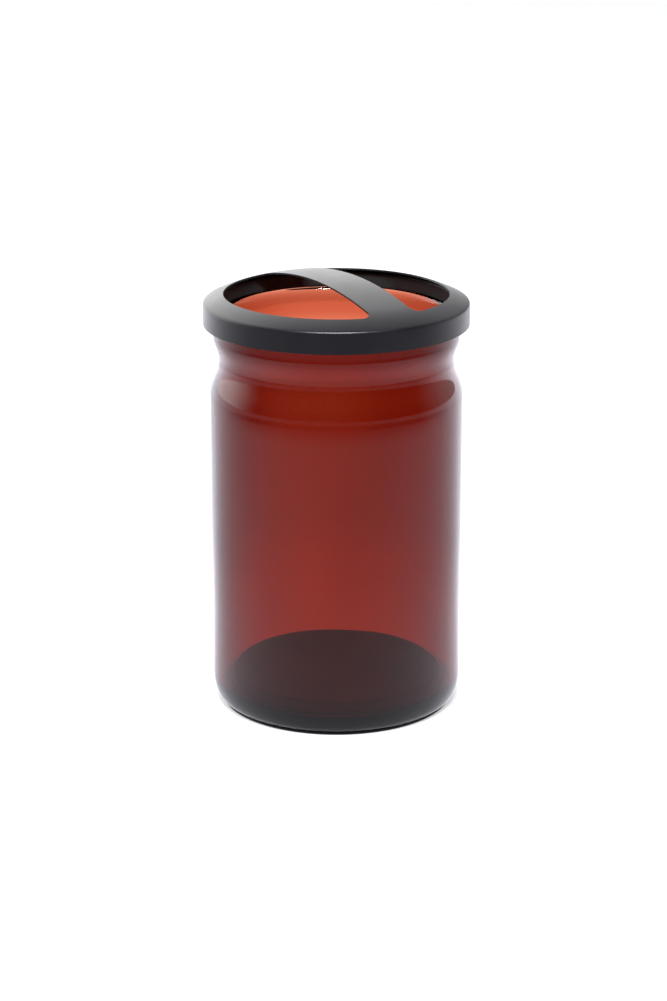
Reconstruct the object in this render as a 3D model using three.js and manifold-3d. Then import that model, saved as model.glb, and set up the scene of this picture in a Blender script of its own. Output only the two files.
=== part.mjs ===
// Apothecary jar: a straight amber glass jar with a grooved neck, a domed metal cap crossed by one
// strap, a rubber seat ring inside the cap, a rubber liner on the floor inside and a thin rubber pad
// under the foot.
// Millimetres, +Z up. The origin is the middle of the pad's underside; the strap runs along Y.
import * as THREE from "three";
import Module from "manifold-3d";

// Clearances
const gap = 0.3; // left between pieces that touch

// Base pad, as wide as the flat of the glass foot
const padThickness = 0.8;

// Glass jar
const rimTop = 115.6; // table to the top of the glass rim
const bodyRadius = 36.3;
const wall = 2.2;
const heelReach = 2.9; // the outside rounding at the foot is an oval this far across
const heelHeight = 7.5; // and this tall
const floorThickness = 3.9;
const floorFillet = 3.2; // inside rounding between the floor and the wall
const lipInset = 1.0; // the lip is this much slimmer than the body, in radius
const lipHeight = 5.7; // rim top to the start of the groove
const lipThickness = 2.7; // the glass at the start of the groove
const rimRounding = 1.0; // outside rounding at the rim; an oval inside thins the lip to meet it
const lipTaper = 4.5; // rim top to where the oval ends
const grooveUpper = 7.4; // start of the groove to its narrowest circle
const grooveLower = 10.2; // narrowest circle to the body
const grooveDepth = 2.6; // body radius to the narrowest circle

// Floor liner, a rubber disc on the flat of the floor inside the jar
const linerThickness = 3.8;
const linerInset = 0.2; // from the edge of the floor's flat to the liner's edge

// Seat ring, a rubber ring of L-section between the cap and the rim
const seatLand = 2.0; // how far it reaches in over the rim from the lip's outside
const seatThickness = 2.8; // rubber above the rim, at the ring's outer edge
const collarThickness = 1.6; // rubber between the lip and the skirt
const collarLip = 1.0; // the collar stops this far above the skirt's bottom edge
const seatChamfer = 1.0; // clears the bend at the cap's shoulder

// Cap
const sheet = 0.5;
const skirtOverlap = 2.6; // the skirt hangs this far below the rim top
const crownRadius = 125.0; // curvature of the middle of the dome
const knuckleRadius = 45.0; // tighter curvature of the dome near the skirt
const knuckleRun = 10.0; // the tighter curvature starts this far in from the skirt
const shoulderBend = 1.0; // outside radius of the bend between the dome and the skirt
const openingInset = 1.1; // the ring of the dome covers this much inside the seat ring
const strapWidth = 13.0;
const cornerRadius = 2.4; // rounding of the openings where the strap joins the ring

// Fineness of the curves
const turns = 64;
const bendSteps = 4;
const heelSteps = 7;
const lipSteps = 6;
const grooveSteps = 7;
const domeSteps = 4;

// Radii and heights that follow from the sizes above
const footZ = padThickness + gap;
const footRadius = bodyRadius - heelReach;
const lipRadius = bodyRadius - lipInset;
const grooveRadius = bodyRadius - grooveDepth;
const grooveTopZ = rimTop - lipHeight;
const grooveZ = grooveTopZ - grooveUpper;
const shoulderZ = grooveZ - grooveLower;
const floorZ = footZ + floorThickness;
const boreRadius = bodyRadius - wall;
const seatInner = lipRadius - seatLand;
const collarInner = lipRadius + gap;
const seatOuter = collarInner + collarThickness;
const capRadius = seatOuter + gap + sheet;
const openingRadius = seatInner - openingInset;
const skirtBottomZ = rimTop - skirtOverlap;
const seatBottomZ = rimTop + gap;
const seatTopZ = seatBottomZ + seatThickness;

// The dome is two arcs that meet smoothly, a flat crown and a tighter knuckle. Its underside clears
// the seat ring's outer edge, which fixes how high it stands.
const legOf = (hypotenuse, leg) => Math.sqrt(hypotenuse ** 2 - leg ** 2);
const meetCos = (capRadius - knuckleRun) / crownRadius;
const meetSin = legOf(1, meetCos);
const knuckleR = (crownRadius - knuckleRadius) * meetCos;
const knuckleZ = seatTopZ + gap - legOf(knuckleRadius - sheet, seatOuter - knuckleR);
const crownCentreZ = knuckleZ - (crownRadius - knuckleRadius) * meetSin;
const crownZ = crownCentreZ + crownRadius;

const wasm = await Module();
wasm.setup();

const degrees = Math.PI / 180;
const point = (r, z) => new THREE.Vector2(r, z);

// Points along an arc in the r-z plane, both ends included; an oval one if it is given a height
function arc(centreR, centreZ, radius, fromDeg, toDeg, steps, height = radius) {
  return Array.from({ length: steps + 1 }, (_, i) => {
    const a = (fromDeg + ((toDeg - fromDeg) * i) / steps) * degrees;
    return point(centreR + radius * Math.cos(a), centreZ + height * Math.sin(a));
  });
}

// Points along a half cosine wave from (r0, z0) to (r1, z1), upright at both ends; the first is left out
function wave(r0, z0, r1, z1, steps) {
  return Array.from({ length: steps }, (_, i) => {
    const t = (i + 1) / steps;
    return point(r0 + ((r1 - r0) * (1 - Math.cos(Math.PI * t))) / 2, z0 + (z1 - z0) * t);
  });
}

// A solid of revolution about Z from its r-z outline, which runs anticlockwise
function turned(outline) {
  return new THREE.LatheGeometry(outline, turns).rotateX(Math.PI / 2);
}

function manifoldOf(geometry) {
  const bare = geometry.clone();
  bare.deleteAttribute("normal");
  bare.deleteAttribute("uv");
  const keys = new Map();
  const vertProperties = [];
  const triVerts = [];
  const position = bare.getAttribute("position");
  const index = bare.index ? Array.from(bare.index.array) : [...Array(position.count).keys()];
  const merged = index.map((i) => {
    const v = [position.getX(i), position.getY(i), position.getZ(i)];
    const key = v.map((x) => Math.round(x * 1e4)).join();
    if (!keys.has(key)) {
      keys.set(key, keys.size);
      vertProperties.push(...v);
    }
    return keys.get(key);
  });
  for (let i = 0; i < merged.length; i += 3) {
    const [a, b, c] = merged.slice(i, i + 3);
    if (a !== b && b !== c && c !== a) triVerts.push(a, b, c);
  }
  return new wasm.Manifold(
    new wasm.Mesh({
      numProp: 3,
      vertProperties: new Float32Array(vertProperties),
      triVerts: new Uint32Array(triVerts),
    }),
  );
}

function geometryOf(solid) {
  const mesh = solid.getMesh();
  return new THREE.BufferGeometry()
    .setAttribute("position", new THREE.BufferAttribute(mesh.vertProperties, mesh.numProp))
    .setIndex(new THREE.BufferAttribute(mesh.triVerts, 1));
}

// Pressed glass: the outside runs up from the foot over the heel, body, groove and lip. The inside
// comes back down from a thin rim through the thicker neck to a rounded floor.
function glassJar() {
  const rimRadius = lipRadius - rimRounding;
  const neckBore = lipRadius - lipThickness;
  return turned([
    point(0, footZ),
    ...arc(footRadius, footZ + heelHeight, heelReach, -90, 0, heelSteps, heelHeight),
    point(bodyRadius, shoulderZ),
    ...wave(bodyRadius, shoulderZ, grooveRadius, grooveZ, grooveSteps),
    ...wave(grooveRadius, grooveZ, lipRadius, grooveTopZ, grooveSteps),
    ...arc(rimRadius, rimTop - rimRounding, rimRounding, 0, 90, bendSteps),
    ...arc(rimRadius, rimTop - lipTaper, rimRadius - neckBore, 90, 180, lipSteps, lipTaper).slice(1),
    point(neckBore, grooveTopZ),
    ...wave(neckBore, grooveTopZ, grooveRadius - wall, grooveZ, grooveSteps),
    ...wave(grooveRadius - wall, grooveZ, boreRadius, shoulderZ, grooveSteps),
    ...arc(boreRadius - floorFillet, floorZ + floorFillet, floorFillet, 0, -90, bendSteps),
    point(0, floorZ),
  ]);
}

// Stamped sheet steel: a dished dome turned down into an upright skirt, a sheet thickness apart
// inside and out, with the openings punched through the dome.
function cap() {
  const bendR = capRadius - shoulderBend;
  const bendZ = knuckleZ + legOf(knuckleRadius - shoulderBend, bendR - knuckleR);
  const tilt = Math.atan2(bendZ - knuckleZ, bendR - knuckleR) / degrees;
  const meet = Math.acos(meetCos) / degrees;
  // From the skirt to the crown along the surface that lies this deep in the sheet
  const side = (depth) => [
    point(capRadius - depth, skirtBottomZ),
    ...arc(bendR, bendZ, shoulderBend - depth, 0, tilt, bendSteps),
    ...arc(knuckleR, knuckleZ, knuckleRadius - depth, tilt, meet, bendSteps).slice(1),
    ...arc(0, crownCentreZ, crownRadius - depth, meet, 90, domeSteps).slice(1, -1),
    point(0, crownZ - depth),
  ];
  const shell = turned([
    point(capRadius - sheet, skirtBottomZ),
    ...side(0),
    ...side(sheet).reverse(),
  ]);
  const first = openingCutter();
  const second = openingCutter().rotateZ(Math.PI);
  return geometryOf(manifoldOf(shell).subtract(manifoldOf(first)).subtract(manifoldOf(second)));
}

// The D-shaped opening on the +X side of the strap, as a prism taller than the dome: the circle of
// the ring and the strap's straight edge, joined by a rounding that touches both.
function openingCutter() {
  const edge = strapWidth / 2;
  const centreX = edge + cornerRadius;
  const centreY = legOf(openingRadius - cornerRadius, centreX);
  const join = Math.atan2(centreY, centreX);
  const outline = new THREE.Shape();
  outline.moveTo(edge, centreY);
  outline.lineTo(edge, -centreY);
  outline.absarc(centreX, -centreY, cornerRadius, Math.PI, 2 * Math.PI - join, false);
  outline.absarc(0, 0, openingRadius, -join, join, false);
  outline.absarc(centreX, centreY, cornerRadius, join, Math.PI, false);
  const depth = crownZ - skirtBottomZ;
  return new THREE.ExtrudeGeometry(outline, {
    depth,
    bevelEnabled: false,
    curveSegments: turns / 4,
  }).translate(0, 0, skirtBottomZ + sheet);
}

// Moulded rubber of L-section: the seat lies on the rim, and the collar hangs between the lip and
// the skirt and keeps the cap centred.
function seatRing() {
  const innerTopZ = knuckleZ + legOf(knuckleRadius - sheet, seatInner - knuckleR) - gap;
  const collarBottomZ = skirtBottomZ + collarLip;
  return turned([
    point(seatInner, seatBottomZ),
    point(collarInner, seatBottomZ),
    point(collarInner, collarBottomZ),
    point(seatOuter, collarBottomZ),
    point(seatOuter, seatTopZ - seatChamfer),
    point(seatOuter - seatChamfer, seatTopZ),
    point(seatInner, innerTopZ),
    point(seatInner, seatBottomZ),
  ]);
}

// A plain disc from one height up to another
function disc(radius, bottomZ, topZ) {
  return turned([point(0, bottomZ), point(radius, bottomZ), point(radius, topZ), point(0, topZ)]);
}

function floorLiner() {
  const bottomZ = floorZ + gap;
  return disc(boreRadius - floorFillet - linerInset, bottomZ, bottomZ + linerThickness);
}

const jar = new THREE.Group();

function add(name, geometry, color, roughness, metalness) {
  const mesh = new THREE.Mesh(
    geometry,
    new THREE.MeshStandardMaterial({ color, roughness, metalness }),
  );
  mesh.name = name;
  jar.add(mesh);
}

add("glass_jar", glassJar(), 0x8f2c22, 0.05, 0);
add("cap", cap(), 0x2b2a2e, 0.45, 0.6);
add("cap_seat", seatRing(), 0x1b1a1b, 0.8, 0);
add("floor_liner", floorLiner(), 0x1d1a1a, 0.8, 0);
add("base_pad", disc(footRadius, 0, padThickness), 0x161616, 0.9, 0);

export default jar;
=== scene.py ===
import bpy
import numpy as np
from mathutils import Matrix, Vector


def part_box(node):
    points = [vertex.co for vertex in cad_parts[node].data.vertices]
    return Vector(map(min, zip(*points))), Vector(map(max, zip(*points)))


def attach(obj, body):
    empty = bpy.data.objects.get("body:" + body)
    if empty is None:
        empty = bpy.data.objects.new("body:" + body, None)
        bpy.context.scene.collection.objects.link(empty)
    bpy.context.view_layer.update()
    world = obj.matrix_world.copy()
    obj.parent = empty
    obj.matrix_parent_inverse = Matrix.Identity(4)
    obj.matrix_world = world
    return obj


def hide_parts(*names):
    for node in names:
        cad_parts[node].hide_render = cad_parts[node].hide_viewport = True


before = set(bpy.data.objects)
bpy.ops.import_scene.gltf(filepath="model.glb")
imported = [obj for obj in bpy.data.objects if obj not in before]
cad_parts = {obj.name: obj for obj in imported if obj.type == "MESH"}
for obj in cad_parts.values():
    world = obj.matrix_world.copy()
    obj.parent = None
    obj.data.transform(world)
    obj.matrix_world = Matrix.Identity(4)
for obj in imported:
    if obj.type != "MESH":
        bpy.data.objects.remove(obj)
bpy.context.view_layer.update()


# ---- Base pad -------------------------------------------------------------------------------
# A disc of black foam rubber stuck to the foot of the glass, die-cut from sheet, with a slightly
# rounded edge and a fine closed-cell face.

def arc(centre_r, centre_z, reach, start, end, steps, rise=None):
    """Points of an r-z outline on an arc: centre + (reach cos a, rise sin a), a from start to end
    in degrees, both ends included. The arc is round unless it is given its own rise."""
    a = np.radians(np.linspace(start, end, steps + 1))
    rise = reach if rise is None else rise
    return np.column_stack([centre_r + reach * np.cos(a), centre_z + rise * np.sin(a)])


def line(start, end, steps):
    """Points of an r-z outline on a straight line, evenly spaced, both ends included."""
    return np.linspace(start, end, steps + 1)


def outline_of(*runs):
    """The runs of points joined end to end, with a point that repeats the one before it dropped."""
    points = np.vstack(runs)
    apart = np.linalg.norm(np.diff(points, axis=0), axis=1) > 1e-7
    return points[np.concatenate([[True], apart])]


def mesh_object(name, corners, faces, body, node, slot):
    """A smooth-shaded mesh object that rides on a body and stands for a CAD node."""
    mesh = bpy.data.meshes.new(name)
    mesh.from_pydata(corners, [], faces)
    mesh.validate()
    mesh.polygons.foreach_set("use_smooth", np.ones(len(mesh.polygons), bool))
    mesh.update()
    piece = bpy.data.objects.new(name, mesh)
    bpy.context.scene.collection.objects.link(piece)
    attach(piece, body)
    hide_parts(node)
    return piece


def turned(outline, steps, shift=None):
    """Vertices and faces of an r-z outline carried once round Z in even steps of t:
    (r cos t, r sin t, z), where shift(t, rings) may add to r. An outline whose ends are at r = 0
    gets a pole at each end; any other closes on itself. It runs anticlockwise, so the faces
    point out."""
    t = np.arange(steps) * (2 * np.pi / steps)
    poles = outline[0, 0] == 0 and outline[-1, 0] == 0
    rings = outline[1:-1] if poles else outline[:-1]
    r = np.repeat(rings[:, :1], steps, axis=1)
    z = np.repeat(rings[:, 1:], steps, axis=1)
    if shift is not None:
        r = r + shift(np.broadcast_to(t, r.shape), rings)
    corners = np.stack([r * np.cos(t), r * np.sin(t), z], axis=-1).reshape(-1, 3)
    count = len(rings)
    ring = np.arange(count - 1 if poles else count)[:, None]
    low, high = ring * steps, (ring + 1) % count * steps
    here = np.arange(steps)
    after = (here + 1) % steps
    quads = np.stack([low + here, low + after, high + after, high + here], axis=-1)
    faces = quads.reshape(-1, 4).tolist()
    if poles:
        first_pole = np.full(steps, len(corners))
        last_pole = first_pole + 1
        corners = np.vstack([corners, [[0, 0, outline[0, 1]], [0, 0, outline[-1, 1]]]])
        last = (count - 1) * steps
        faces += np.stack([first_pole, after, here], axis=-1).tolist()
        faces += np.stack([last_pole, last + here, last + after], axis=-1).tolist()
    return corners.tolist(), faces


pad_low, pad_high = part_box("base_pad")
pad_radius = pad_high.x
pad_edge = 0.00015
steps_round = 192
foam_deep, foam_pale = (0.006, 0.006, 0.0065), (0.018, 0.017, 0.017)
foam_cells = 2600
pad_outline = outline_of(
    line((0, pad_low.z), (pad_radius - pad_edge, pad_low.z), 12),
    arc(pad_radius - pad_edge, pad_low.z + pad_edge, pad_edge, -90, 0, 4),
    arc(pad_radius - pad_edge, pad_high.z - pad_edge, pad_edge, 0, 90, 4),
    line((pad_radius - pad_edge, pad_high.z), (0, pad_high.z), 12),
)
pad_skin = turned(pad_outline, steps_round)
pad = mesh_object("foam_pad", *pad_skin, "jar", "base_pad", "black_rubber")


def new_material(name):
    """A material with nothing but a Principled shader wired to its output."""
    made = bpy.data.materials.new(name)
    made.use_nodes = True
    nodes = made.node_tree.nodes
    return made, nodes, made.node_tree.links, nodes["Principled BSDF"]


def patches_and_grain():
    """A shader group shared by the black finishes. Soft patches from cloud noise run the colour and
    the roughness between two ends each, and a second, finer noise is the height of the grain."""
    group = bpy.data.node_groups.new("patches and grain", "ShaderNodeTree")
    sockets = [
        ("Patch Scale", "INPUT", "NodeSocketFloat"),
        ("Grain Scale", "INPUT", "NodeSocketFloat"),
        ("Deep Colour", "INPUT", "NodeSocketColor"),
        ("Pale Colour", "INPUT", "NodeSocketColor"),
        ("Smoothest", "INPUT", "NodeSocketFloat"),
        ("Roughest", "INPUT", "NodeSocketFloat"),
        ("Base Color", "OUTPUT", "NodeSocketColor"),
        ("Roughness", "OUTPUT", "NodeSocketFloat"),
        ("Grain Height", "OUTPUT", "NodeSocketFloat"),
    ]
    for name, way, kind in sockets:
        group.interface.new_socket(name, in_out=way, socket_type=kind)
    inside, joins = group.nodes, group.links
    given = inside.new("NodeGroupInput")
    made = inside.new("NodeGroupOutput")
    place = inside.new("ShaderNodeTexCoord")
    patches = inside.new("ShaderNodeTexNoise")
    patches.inputs["Detail"].default_value = 6
    spread = inside.new("ShaderNodeMapRange")
    spread.inputs["From Min"].default_value = 0.32
    spread.inputs["From Max"].default_value = 0.72
    tone = inside.new("ShaderNodeMix")
    tone.data_type = "RGBA"
    gloss = inside.new("ShaderNodeMix")
    grain = inside.new("ShaderNodeTexNoise")
    grain.inputs["Detail"].default_value = 3
    tone_from, tone_to, tone_out = tone.inputs[6], tone.inputs[7], tone.outputs[2]
    joins.new(place.outputs["Object"], patches.inputs["Vector"])
    joins.new(place.outputs["Object"], grain.inputs["Vector"])
    joins.new(given.outputs["Patch Scale"], patches.inputs["Scale"])
    joins.new(given.outputs["Grain Scale"], grain.inputs["Scale"])
    joins.new(patches.outputs["Fac"], spread.inputs["Value"])
    joins.new(spread.outputs["Result"], tone.inputs["Factor"])
    joins.new(spread.outputs["Result"], gloss.inputs["Factor"])
    joins.new(given.outputs["Deep Colour"], tone_from)
    joins.new(given.outputs["Pale Colour"], tone_to)
    joins.new(given.outputs["Smoothest"], gloss.inputs["A"])
    joins.new(given.outputs["Roughest"], gloss.inputs["B"])
    joins.new(tone_out, made.inputs["Base Color"])
    joins.new(gloss.outputs["Result"], made.inputs["Roughness"])
    joins.new(grain.outputs["Fac"], made.inputs["Grain Height"])
    return group


black_finish = patches_and_grain()


def finish_black(nodes, links, shader, patch_scale, deep, pale, roughness):
    """Puts the shared group on a shader: its patches drive the colour between deep and pale and the
    roughness between the two given. Returns the group's node."""
    finish = nodes.new("ShaderNodeGroup")
    finish.node_tree = black_finish
    finish.inputs["Patch Scale"].default_value = patch_scale
    finish.inputs["Deep Colour"].default_value = (*deep, 1)
    finish.inputs["Pale Colour"].default_value = (*pale, 1)
    finish.inputs["Smoothest"].default_value, finish.inputs["Roughest"].default_value = roughness
    links.new(finish.outputs["Base Color"], shader.inputs["Base Color"])
    links.new(finish.outputs["Roughness"], shader.inputs["Roughness"])
    return finish


def relief(nodes, links, shader, height, strength, depth):
    """Raises a shader's surface by a height pattern, depth metres at full strength."""
    bump = nodes.new("ShaderNodeBump")
    bump.inputs["Strength"].default_value = strength
    bump.inputs["Distance"].default_value = depth
    links.new(height, bump.inputs["Height"])
    links.new(bump.outputs["Normal"], shader.inputs["Normal"])


foam, nodes, links, shader = new_material("black foam rubber")
finish_black(nodes, links, shader, 160, foam_deep, foam_pale, roughness=(0.78, 0.95))
place = nodes.new("ShaderNodeTexCoord")
cells = nodes.new("ShaderNodeTexVoronoi")
cells.inputs["Scale"].default_value = foam_cells
links.new(place.outputs["Object"], cells.inputs["Vector"])
relief(nodes, links, shader, cells.outputs["Distance"], strength=0.35, depth=0.00008)
pad.data.materials.append(foam)


# ---- Glass jar ------------------------------------------------------------------------------
# One piece of pressed amber glass: a thick rounded heel and floor, a straight body, a concave
# groove round the neck and a fire-polished lip. The colour is in the glass, so it deepens with
# the thickness that light crosses.

glass_low, glass_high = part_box("glass_jar")
body_radius = glass_high.x
rim_top = glass_high.z
foot = glass_low.z
wall = 0.0022
heel_reach, heel_height = 0.0029, 0.0075
floor_top = foot + 0.0039
fillet = 0.0032
lip_radius = body_radius - 0.001
groove_radius = body_radius - 0.0026
groove_top = rim_top - 0.0057
groove_low = groove_top - 0.0074
shoulder = groove_low - 0.0102
rim_rounding = 0.001
rim_radius = lip_radius - rim_rounding
lip_taper = 0.0045
neck_bore = lip_radius - 0.0027
unevenness = 0.00006
amber_tint, amber_depth = (0.65, 0.232, 0.034, 1), 1546


def wave(start, end, steps):
    """Points of an r-z outline on half a cosine wave, upright at both ends:
    r = r0 + (r1 - r0)(1 - cos(pi s)) / 2 while z goes evenly from z0 to z1."""
    s = np.linspace(0, 1, steps + 1)
    ease = (1 - np.cos(np.pi * s)) / 2
    (r0, z0), (r1, z1) = start, end
    return np.column_stack([r0 + (r1 - r0) * ease, z0 + (z1 - z0) * s])


bore = body_radius - wall
jar_outline = outline_of(
    line((0, foot), (body_radius - heel_reach, foot), 20),
    arc(body_radius - heel_reach, foot + heel_height, heel_reach, -90, 0, 24, heel_height),
    line((body_radius, foot + heel_height), (body_radius, shoulder), 60),
    wave((body_radius, shoulder), (groove_radius, groove_low), 24),
    wave((groove_radius, groove_low), (lip_radius, groove_top), 22),
    line((lip_radius, groove_top), (lip_radius, rim_top - rim_rounding), 6),
    arc(rim_radius, rim_top - rim_rounding, rim_rounding, 0, 90, 12),
    arc(rim_radius, rim_top - lip_taper, rim_radius - neck_bore, 90, 180, 20, lip_taper),
    line((neck_bore, rim_top - lip_taper), (neck_bore, groove_top), 2),
    wave((neck_bore, groove_top), (groove_radius - wall, groove_low), 22),
    wave((groove_radius - wall, groove_low), (bore, shoulder), 24),
    line((bore, shoulder), (bore, floor_top + fillet), 60),
    arc(bore - fillet, floor_top + fillet, fillet, 0, -90, 16),
    line((bore - fillet, floor_top), (0, floor_top), 16),
)


def pressed_unevenness(t, rings):
    """How far the inside wall strays from true: the sum of three cosines round the jar, of 3, 5
    and 9 waves, that drift with height. It fades out over the lowest and highest 15 % of the
    inside, and is nothing on the outside, which comes before the highest ring."""
    z = rings[:, 1:]
    height = (z - floor_top) / (rim_top - floor_top)
    inside = np.arange(len(rings))[:, None] > np.argmax(z)
    ease = np.clip(np.minimum(height / 0.15, (1 - height) / 0.15), 0, 1) * inside
    round_it = (
        np.cos(3 * t + 2.1 * height + 0.6)
        + 0.6 * np.cos(5 * t - 3.7 * height + 2.0)
        + 0.4 * np.cos(9 * t + 6.0 * height)
    )
    return unevenness * ease * round_it


jar_skin = turned(jar_outline, steps_round, pressed_unevenness)
jar = mesh_object("amber_jar", *jar_skin, "jar", "glass_jar", "amber_glass")

amber, nodes, links, shader = new_material("amber glass")
shader.inputs["Base Color"].default_value = (1, 1, 1, 1)
shader.inputs["Metallic"].default_value = 0
shader.inputs["Transmission Weight"].default_value = 1
shader.inputs["IOR"].default_value = 1.51
place = nodes.new("ShaderNodeTexCoord")
handling = nodes.new("ShaderNodeTexNoise")
handling.inputs["Scale"].default_value = 38
handling.inputs["Detail"].default_value = 6
film = nodes.new("ShaderNodeMapRange")
film.inputs["From Min"].default_value = 0.45
film.inputs["From Max"].default_value = 0.8
film.inputs["To Min"].default_value = 0.0
film.inputs["To Max"].default_value = 0.012
links.new(place.outputs["Object"], handling.inputs["Vector"])
links.new(handling.outputs["Fac"], film.inputs["Value"])
links.new(film.outputs["Result"], shader.inputs["Roughness"])
tint = nodes.new("ShaderNodeVolumeAbsorption")
tint.inputs["Color"].default_value = amber_tint
tint.inputs["Density"].default_value = amber_depth
links.new(tint.outputs["Volume"], nodes["Material Output"].inputs["Volume"])
jar.data.materials.append(amber)


# ---- Floor liner ----------------------------------------------------------------------------
# A disc of black rubber a few millimetres thick, stamped from sheet and laid on the flat of the
# glass floor, so that what stands in the jar doesn't knock or slide on the glass.

liner_low, liner_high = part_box("floor_liner")
liner_radius = liner_high.x
liner_edge = 0.0004
sheet_deep, sheet_pale = (0.034, 0.026, 0.027), (0.05, 0.038, 0.039)
liner_outline = outline_of(
    line((0, liner_low.z), (liner_radius - liner_edge, liner_low.z), 12),
    arc(liner_radius - liner_edge, liner_low.z + liner_edge, liner_edge, -90, 0, 5),
    arc(liner_radius - liner_edge, liner_high.z - liner_edge, liner_edge, 0, 90, 5),
    line((liner_radius - liner_edge, liner_high.z), (0, liner_high.z), 12),
)
liner_skin = turned(liner_outline, steps_round)
liner = mesh_object("rubber_liner", *liner_skin, "jar", "floor_liner", "black_rubber")

sheet_rubber, nodes, links, shader = new_material("black sheet rubber")
face = finish_black(nodes, links, shader, 70, sheet_deep, sheet_pale, roughness=(0.3, 0.46))
face.inputs["Grain Scale"].default_value = 1100
relief(nodes, links, shader, face.outputs["Grain Height"], strength=0.15, depth=0.00004)
liner.data.materials.append(sheet_rubber)


# ---- Seat ring ------------------------------------------------------------------------------
# A moulded black rubber ring of L-section pressed inside the cap: its seat lies on the glass rim
# and its collar fills the space between the lip and the skirt.

seat_low, seat_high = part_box("cap_seat")
cap_low, cap_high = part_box("cap")
seat_outer = seat_high.x
seat_land = 0.002
clearance = 0.0003
seat_inner = lip_radius - seat_land
seat_bottom = rim_top + clearance
collar_inner = lip_radius + clearance
edge = 0.00025
corner_cut = 0.0002
chamfer = 0.001
seat_thickness = 0.0028
seat_top = seat_bottom + seat_thickness
rubber_deep, rubber_pale = (0.011, 0.011, 0.012), (0.026, 0.026, 0.026)
sheet = 0.0005
cap_radius = cap_high.x
crown_radius, knuckle_radius, knuckle_run = 0.125, 0.045, 0.010
meet_cos = (cap_radius - knuckle_run) / crown_radius
meet_angle = np.degrees(np.arccos(meet_cos))
crown_centre = cap_high.z - crown_radius
knuckle_r = (crown_radius - knuckle_radius) * meet_cos
knuckle_z = crown_centre + (crown_radius - knuckle_radius) * np.sin(np.radians(meet_angle))
under_dome = np.sqrt((knuckle_radius - sheet) ** 2 - (seat_inner - knuckle_r) ** 2)
inner_top = knuckle_z + under_dome - clearance
ring_outline = outline_of(
    arc(seat_inner + edge, seat_bottom + edge, edge, 180, 270, 5),
    line((seat_inner + 2 * edge, seat_bottom), (collar_inner, seat_bottom), 6),
    line((collar_inner, seat_bottom - corner_cut / 2), (collar_inner, seat_low.z + corner_cut), 6),
    line((collar_inner + corner_cut, seat_low.z), (seat_outer - corner_cut, seat_low.z), 3),
    line((seat_outer, seat_low.z + corner_cut), (seat_outer, seat_top - chamfer - corner_cut), 6),
    line((seat_outer, seat_top - chamfer), (seat_outer - chamfer, seat_top), 3),
    line(
        (seat_outer - chamfer - corner_cut, seat_top),
        (seat_inner + 2 * edge, inner_top - corner_cut / 2),
        6,
    ),
    line((seat_inner, inner_top - edge), (seat_inner, seat_bottom + edge), 6),
)
ring_skin = turned(ring_outline, steps_round)
seat_ring = mesh_object("rubber_seat_ring", *ring_skin, "seat", "cap_seat", "black_rubber")

rubber, nodes, links, shader = new_material("black moulded rubber")
skin = finish_black(nodes, links, shader, 90, rubber_deep, rubber_pale, roughness=(0.5, 0.75))
skin.inputs["Grain Scale"].default_value = 1500
relief(nodes, links, shader, skin.outputs["Grain Height"], strength=0.2, depth=0.00005)
seat_ring.data.materials.append(rubber)


# ---- Cap ------------------------------------------------------------------------------------
# One stamping of thin sheet steel, powder coated satin black: a dished dome turned down into an
# upright skirt over a tight bend, with two D-shaped openings punched beside a strap.

bend = 0.001
opening_inset = 0.0011
opening_radius = seat_inner - opening_inset
half_strap = 0.0065
corner = 0.0024
edge_round = 0.00014
coat_deep, coat_pale = (0.012, 0.011, 0.0135), (0.019, 0.0175, 0.021)
bend_r = cap_radius - bend
bend_z = knuckle_z + np.sqrt((knuckle_radius - bend) ** 2 - (bend_r - knuckle_r) ** 2)
tilt = np.degrees(np.arctan2(bend_z - knuckle_z, bend_r - knuckle_r))
corner_x = half_strap + corner
corner_y = np.sqrt((opening_radius - corner) ** 2 - corner_x ** 2)
join = np.arctan2(corner_y, corner_x)


def dome_height(r):
    """Height of the dome's outside at a distance r from the axis: the flat crown's sphere near
    the middle, and the tighter knuckle's arc beyond the circle where the two meet."""
    crown = crown_centre + np.sqrt(crown_radius ** 2 - r ** 2)
    knuckle = knuckle_z + np.sqrt(np.maximum(knuckle_radius ** 2 - (r - knuckle_r) ** 2, 0))
    return np.where(r < crown_radius * meet_cos, crown, knuckle)


def on_dome(x, y):
    """Points of the dome's outside above the plan positions x, y."""
    return np.stack([x, y, dome_height(np.hypot(x, y))], axis=-1)


def grid_faces(rows, columns, start, closed=False):
    """Quads of a grid of vertices numbered row by row from start, the last column joined to the
    first if the grid is closed."""
    across = np.arange(columns if closed else columns - 1)
    along = np.arange(rows - 1)[:, None]
    after = (across + 1) % columns
    low, high = start + along * columns, start + (along + 1) * columns
    return np.stack([low + across, low + after, high + after, high + across], axis=-1).reshape(-1, 4)


strap_columns = 24
opening_columns = 96
across = np.linspace(1, -1, strap_columns + 1)
join_x = opening_radius * np.cos(join)
strap_angles = np.arccos(join_x * across / opening_radius)
side_angles = np.linspace(np.pi - join, np.pi + join, opening_columns + 1)
angles = np.concatenate([
    strap_angles[:-1],
    side_angles[:-1],
    strap_angles[:-1] + np.pi,
    side_angles[:-1] + np.pi,
])
dome_run = np.linspace(opening_radius, knuckle_r + knuckle_radius * np.cos(np.radians(tilt)), 9)
profile = outline_of(
    np.column_stack([dome_run, dome_height(dome_run)]),
    arc(bend_r, bend_z, bend, tilt, 0, 8),
    line((cap_radius, bend_z), (cap_radius, cap_low.z), 8),
)
ring_points = np.stack(
    [
        profile[:, :1] * np.cos(angles),
        profile[:, :1] * np.sin(angles),
        np.repeat(profile[:, 1:], len(angles), axis=1),
    ],
    axis=-1,
)

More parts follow.
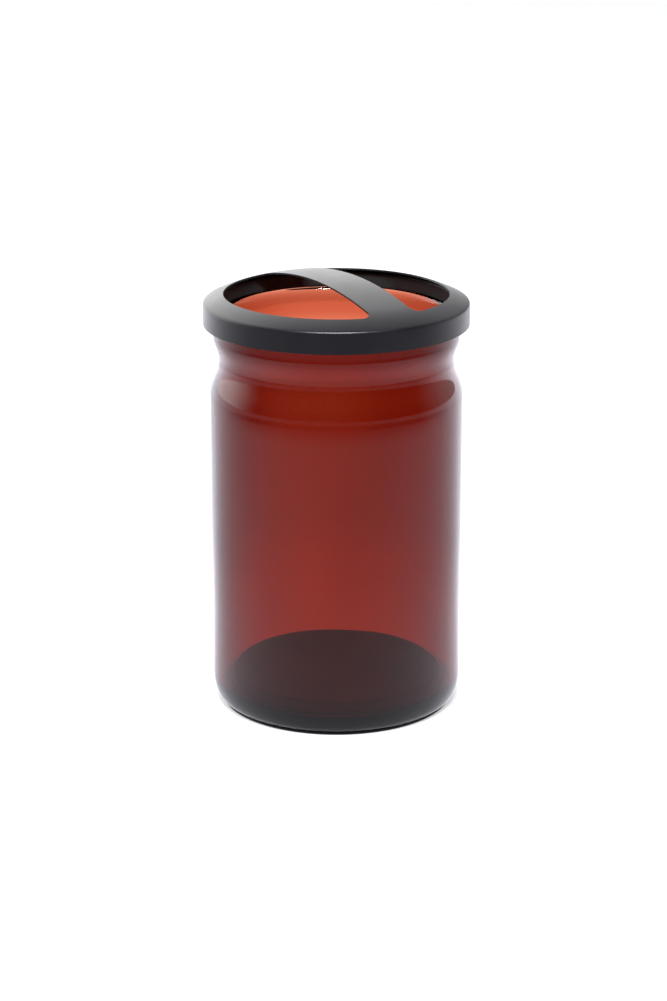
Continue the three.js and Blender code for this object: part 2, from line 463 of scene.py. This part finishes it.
corner_steps = 8
swing = np.linspace(np.pi, join, corner_steps + 1)
flare = (np.pi - swing) / (np.pi - join)
side_x = (corner_x + corner * np.cos(swing))[:, None]
side_y = (corner_y + corner * np.sin(swing))[:, None]
neck_x = side_x * across
neck_y = side_y + (flare ** 2)[:, None] * (
    np.sqrt(opening_radius ** 2 - neck_x ** 2) - np.sqrt(opening_radius ** 2 - side_x ** 2)
)
neck = on_dome(neck_x, neck_y)
strap_y = np.linspace(-corner_y, corner_y, 61)[1:-1, None] + 0 * across
strap = on_dome(half_strap * across + 0 * strap_y, strap_y)
far_neck = neck * np.array([-1, -1, 1])
length_of_strap = np.vstack([far_neck[::-1, ::-1], strap, neck])

ring_count = ring_points.shape[0] * len(angles)
corners = np.vstack([ring_points.reshape(-1, 3), length_of_strap.reshape(-1, 3)])
ring_quads = grid_faces(len(profile), len(angles), 0, closed=True)[:, ::-1]
strap_quads = grid_faces(length_of_strap.shape[0], strap_columns + 1, ring_count)[:, ::-1]
faces = np.vstack([ring_quads, strap_quads]).tolist()
cap = mesh_object("slotted_cap", corners.tolist(), faces, "lid", "cap", "black_coated_steel")
weld = cap.modifiers.new("weld strap to ring", "WELD")
weld.merge_threshold = sheet / 25
gauge = cap.modifiers.new("sheet gauge", "SOLIDIFY")
gauge.thickness = sheet
gauge.offset = -1
gauge.use_even_offset = True
cut = cap.modifiers.new("coated edges", "BEVEL")
cut.width = edge_round
cut.segments = 3
cut.limit_method = "ANGLE"
cut.angle_limit = np.radians(50)
cut.harden_normals = True

coat, nodes, links, shader = new_material("satin black powder coat")
shader.inputs["IOR"].default_value = 1.5
peel = finish_black(nodes, links, shader, 45, coat_deep, coat_pale, roughness=(0.28, 0.38))
peel.inputs["Grain Scale"].default_value = 900
relief(nodes, links, shader, peel.outputs["Grain Height"], strength=0.12, depth=0.00004)
cap.data.materials.append(coat)


# ---- Studio ---------------------------------------------------------------------------------
# A matt white table inside a white tent that is open towards the camera, where the room is dim.
# To the camera the table is plain white. Every other ray sees painted light on it instead: a glow that is
# brightest behind the jar and under its foot, and painted shade for the dark of the room beyond the near
# edge.

half_table = 6.0
table_mesh = bpy.data.meshes.new("table")
table_mesh.from_pydata(
    [
        (-half_table, -half_table, 0),
        (half_table, -half_table, 0),
        (half_table, half_table, 0),
        (-half_table, half_table, 0),
    ],
    [],
    [(0, 1, 2, 3)],
)
table = bpy.data.objects.new("table", table_mesh)
bpy.context.scene.collection.objects.link(table)
camera_turn = np.radians(-30)
toward_camera = Vector((np.sin(camera_turn), -np.cos(camera_turn), 0))
right_of_camera = Vector((-toward_camera.y, toward_camera.x, 0))


def product(nodes, links, source, factor):
    """The source times the factor, which is another socket or a plain number."""
    times = nodes.new("ShaderNodeMath")
    times.operation = "MULTIPLY"
    links.new(source, times.inputs[0])
    if isinstance(factor, (int, float)):
        times.inputs[1].default_value = factor
    else:
        links.new(factor, times.inputs[1])
    return times.outputs["Value"]


def brightness(nodes, links, source, stops):
    """A brightness that follows the source on straight lines between stops (value, brightness)."""
    first, last = stops[0][0], stops[-1][0]
    brightest = max(level for _, level in stops)
    spread = nodes.new("ShaderNodeMapRange")
    spread.inputs["From Min"].default_value = first
    spread.inputs["From Max"].default_value = last
    curve = nodes.new("ShaderNodeValToRGB")
    elements = curve.color_ramp.elements
    elements.remove(elements[1])
    for value, level in stops[1:]:
        elements.new((value - first) / (last - first)).color = (*[level / brightest] * 3, 1)
    elements[0].position = 0
    elements[0].color = (*[stops[0][1] / brightest] * 3, 1)
    links.new(source, spread.inputs["Value"])
    links.new(spread.outputs["Result"], curve.inputs["Fac"])
    return product(nodes, links, curve.outputs["Color"], brightest)


def along(nodes, links, source, direction):
    """How far the source vector points along a fixed direction: their dot product."""
    dot = nodes.new("ShaderNodeVectorMath")
    dot.operation = "DOT_PRODUCT"
    dot.inputs[1].default_value = direction
    links.new(source, dot.inputs[0])
    return dot.outputs["Value"]


def faded(nodes, links, source, ends, levels):
    """A level that goes from the first of levels to the second on a smooth step, 3 s^2 - 2 s^3,
    as the source goes from the first of ends to the second."""
    fade = nodes.new("ShaderNodeMapRange")
    fade.interpolation_type = "SMOOTHSTEP"
    fade.inputs["From Min"].default_value, fade.inputs["From Max"].default_value = ends
    fade.inputs["To Min"].default_value, fade.inputs["To Max"].default_value = levels
    links.new(source, fade.inputs["Value"])
    return fade.outputs["Result"]


# Painted light on the table: brightness stops for the glow that the glass and the cap see, round the jar
# and outwards on the near and far sides, with a painted dark band 0.36 to 0.42 out on the near side.
around_table = [
    (-1, 1.5), (-0.85, 1.6), (-0.79, 1.7), (-0.75, 1.6), (-0.5, 1.22), (-0.2, 1.0), (0.3, 0.85), (1, 0.5)
]
share_of_near_side = [(-1, 0), (-0.5, 0), (0.2, 1), (1, 1)]
outward_near_side = [
    (0.034, 1.5), (0.1, 1.28), (0.17, 1.0), (0.33, 0.8), (0.36, 0.12), (0.42, 0.12), (0.46, 0.4), (0.6, 0.4)
]
outward_far_side = [(0.034, 1.3), (0.1, 1.28), (0.17, 1.0), (0.45, 1.0), (0.5, 1.25), (0.6, 1.25)]
seen_through_glass = 2.45
painted_light_colour = (0.98, 0.98, 1.07, 1)

white, nodes, links, shader = new_material("white table")
shader.inputs["Base Color"].default_value = (0.8, 0.8, 0.8, 1)
shader.inputs["Roughness"].default_value = 0.8
shader.inputs["Specular IOR Level"].default_value = 0.1
shader.inputs["Emission Color"].default_value = (1, 1, 1, 1)
shader.inputs["Emission Strength"].default_value = 0.5
place = nodes.new("ShaderNodeTexCoord").outputs["Object"]
heading = nodes.new("ShaderNodeVectorMath")
heading.operation = "NORMALIZE"
reach = nodes.new("ShaderNodeVectorMath")
reach.operation = "LENGTH"
links.new(place, heading.inputs[0])
links.new(place, reach.inputs[0])
facing = along(nodes, links, heading.outputs["Vector"], toward_camera)
near = nodes.new("ShaderNodeMix")
near_share = brightness(nodes, links, facing, share_of_near_side)
near_side = brightness(nodes, links, reach.outputs["Value"], outward_near_side)
far_side = brightness(nodes, links, reach.outputs["Value"], outward_far_side)
links.new(near_share, near.inputs["Factor"])
links.new(far_side, near.inputs["A"])
links.new(near_side, near.inputs["B"])
painted_table_light = product(
    nodes, links, brightness(nodes, links, facing, around_table), near.outputs["Result"]
)
# Painted light: every ray but the camera's sees the table as a glowing emission with no shading of its own,
# and rays through the glass see the far side's painted light made stronger.
ray = nodes.new("ShaderNodeLightPath")
painted_light_strength = nodes.new("ShaderNodeMix")
painted_light_glow = nodes.new("ShaderNodeEmission")
painted_light_glow.inputs["Color"].default_value = painted_light_colour
choice = nodes.new("ShaderNodeMixShader")
links.new(ray.outputs["Is Transmission Ray"], painted_light_strength.inputs["Factor"])
links.new(painted_table_light, painted_light_strength.inputs["A"])
links.new(product(nodes, links, far_side, seen_through_glass), painted_light_strength.inputs["B"])
links.new(painted_light_strength.outputs["Result"], painted_light_glow.inputs["Strength"])
links.new(ray.outputs["Is Camera Ray"], choice.inputs["Fac"])
links.new(painted_light_glow.outputs["Emission"], choice.inputs[1])
links.new(shader.outputs["BSDF"], choice.inputs[2])
links.new(choice.outputs["Shader"], nodes["Material Output"].inputs["Surface"])
table_mesh.materials.append(white)

tent_as_seen = 1.9
tent = bpy.data.worlds.new("studio tent")
tent.use_nodes = True
bpy.context.scene.world = tent
nodes, links = tent.node_tree.nodes, tent.node_tree.links
sky = nodes["Background"]
sky.inputs["Color"].default_value = (1, 1, 1, 1)
upward = Vector((0, 0, 1))
place = nodes.new("ShaderNodeTexCoord").outputs["Generated"]
forward = along(nodes, links, place, toward_camera)
rightward = along(nodes, links, place, right_of_camera)
height = along(nodes, links, place, upward)
front_open = faded(nodes, links, forward, ends=(-0.5, 0.25), levels=(2.4, 0.05))
right_dim = faded(nodes, links, rightward, ends=(-0.1, 0.35), levels=(1.0, 0.25))
top_dim = faded(nodes, links, height, ends=(0.5, 0.98), levels=(1.0, 0.15))
walls = product(nodes, links, product(nodes, links, front_open, right_dim), top_dim)
ray = nodes.new("ShaderNodeLightPath")
plain = nodes.new("ShaderNodeMix")
plain.inputs["B"].default_value = tent_as_seen
links.new(ray.outputs["Is Camera Ray"], plain.inputs["Factor"])
links.new(walls, plain.inputs["A"])
links.new(plain.outputs["Result"], sky.inputs["Strength"])

key_distance, key_height = 0.7, 1.2
key_aim = Vector((0, 0, 0.1))
key_light = bpy.data.lights.new("key softbox", "AREA")
key_light.shape = "RECTANGLE"
key_light.size, key_light.size_y = 0.7, 0.25
key_light.energy = 24
key_light.color = (0.88, 0.93, 1.0)
key = bpy.data.objects.new("key softbox", key_light)
bpy.context.scene.collection.objects.link(key)
key.location = toward_camera * key_distance + upward * key_height
key.rotation_euler = (key_aim - key.location).to_track_quat("-Z", "Y").to_euler()

frame_height = 1001
focal = 2745.0
aside = 3.0 / focal
camera_height, camera_distance, camera_pitch = 0.2986, 0.7615, 0.304
camera_data = bpy.data.cameras.new("camera")
camera_data.sensor_width = 36
camera_data.lens = focal * camera_data.sensor_width / frame_height
camera_data.clip_start, camera_data.clip_end = 0.01, 50
camera = bpy.data.objects.new("camera", camera_data)
bpy.context.scene.collection.objects.link(camera)
bpy.context.scene.camera = camera
camera.location = toward_camera * camera_distance + upward * camera_height
camera.rotation_euler = (np.pi / 2 - camera_pitch, 0, camera_turn + aside)
bpy.context.scene.view_settings.view_transform = "Standard"
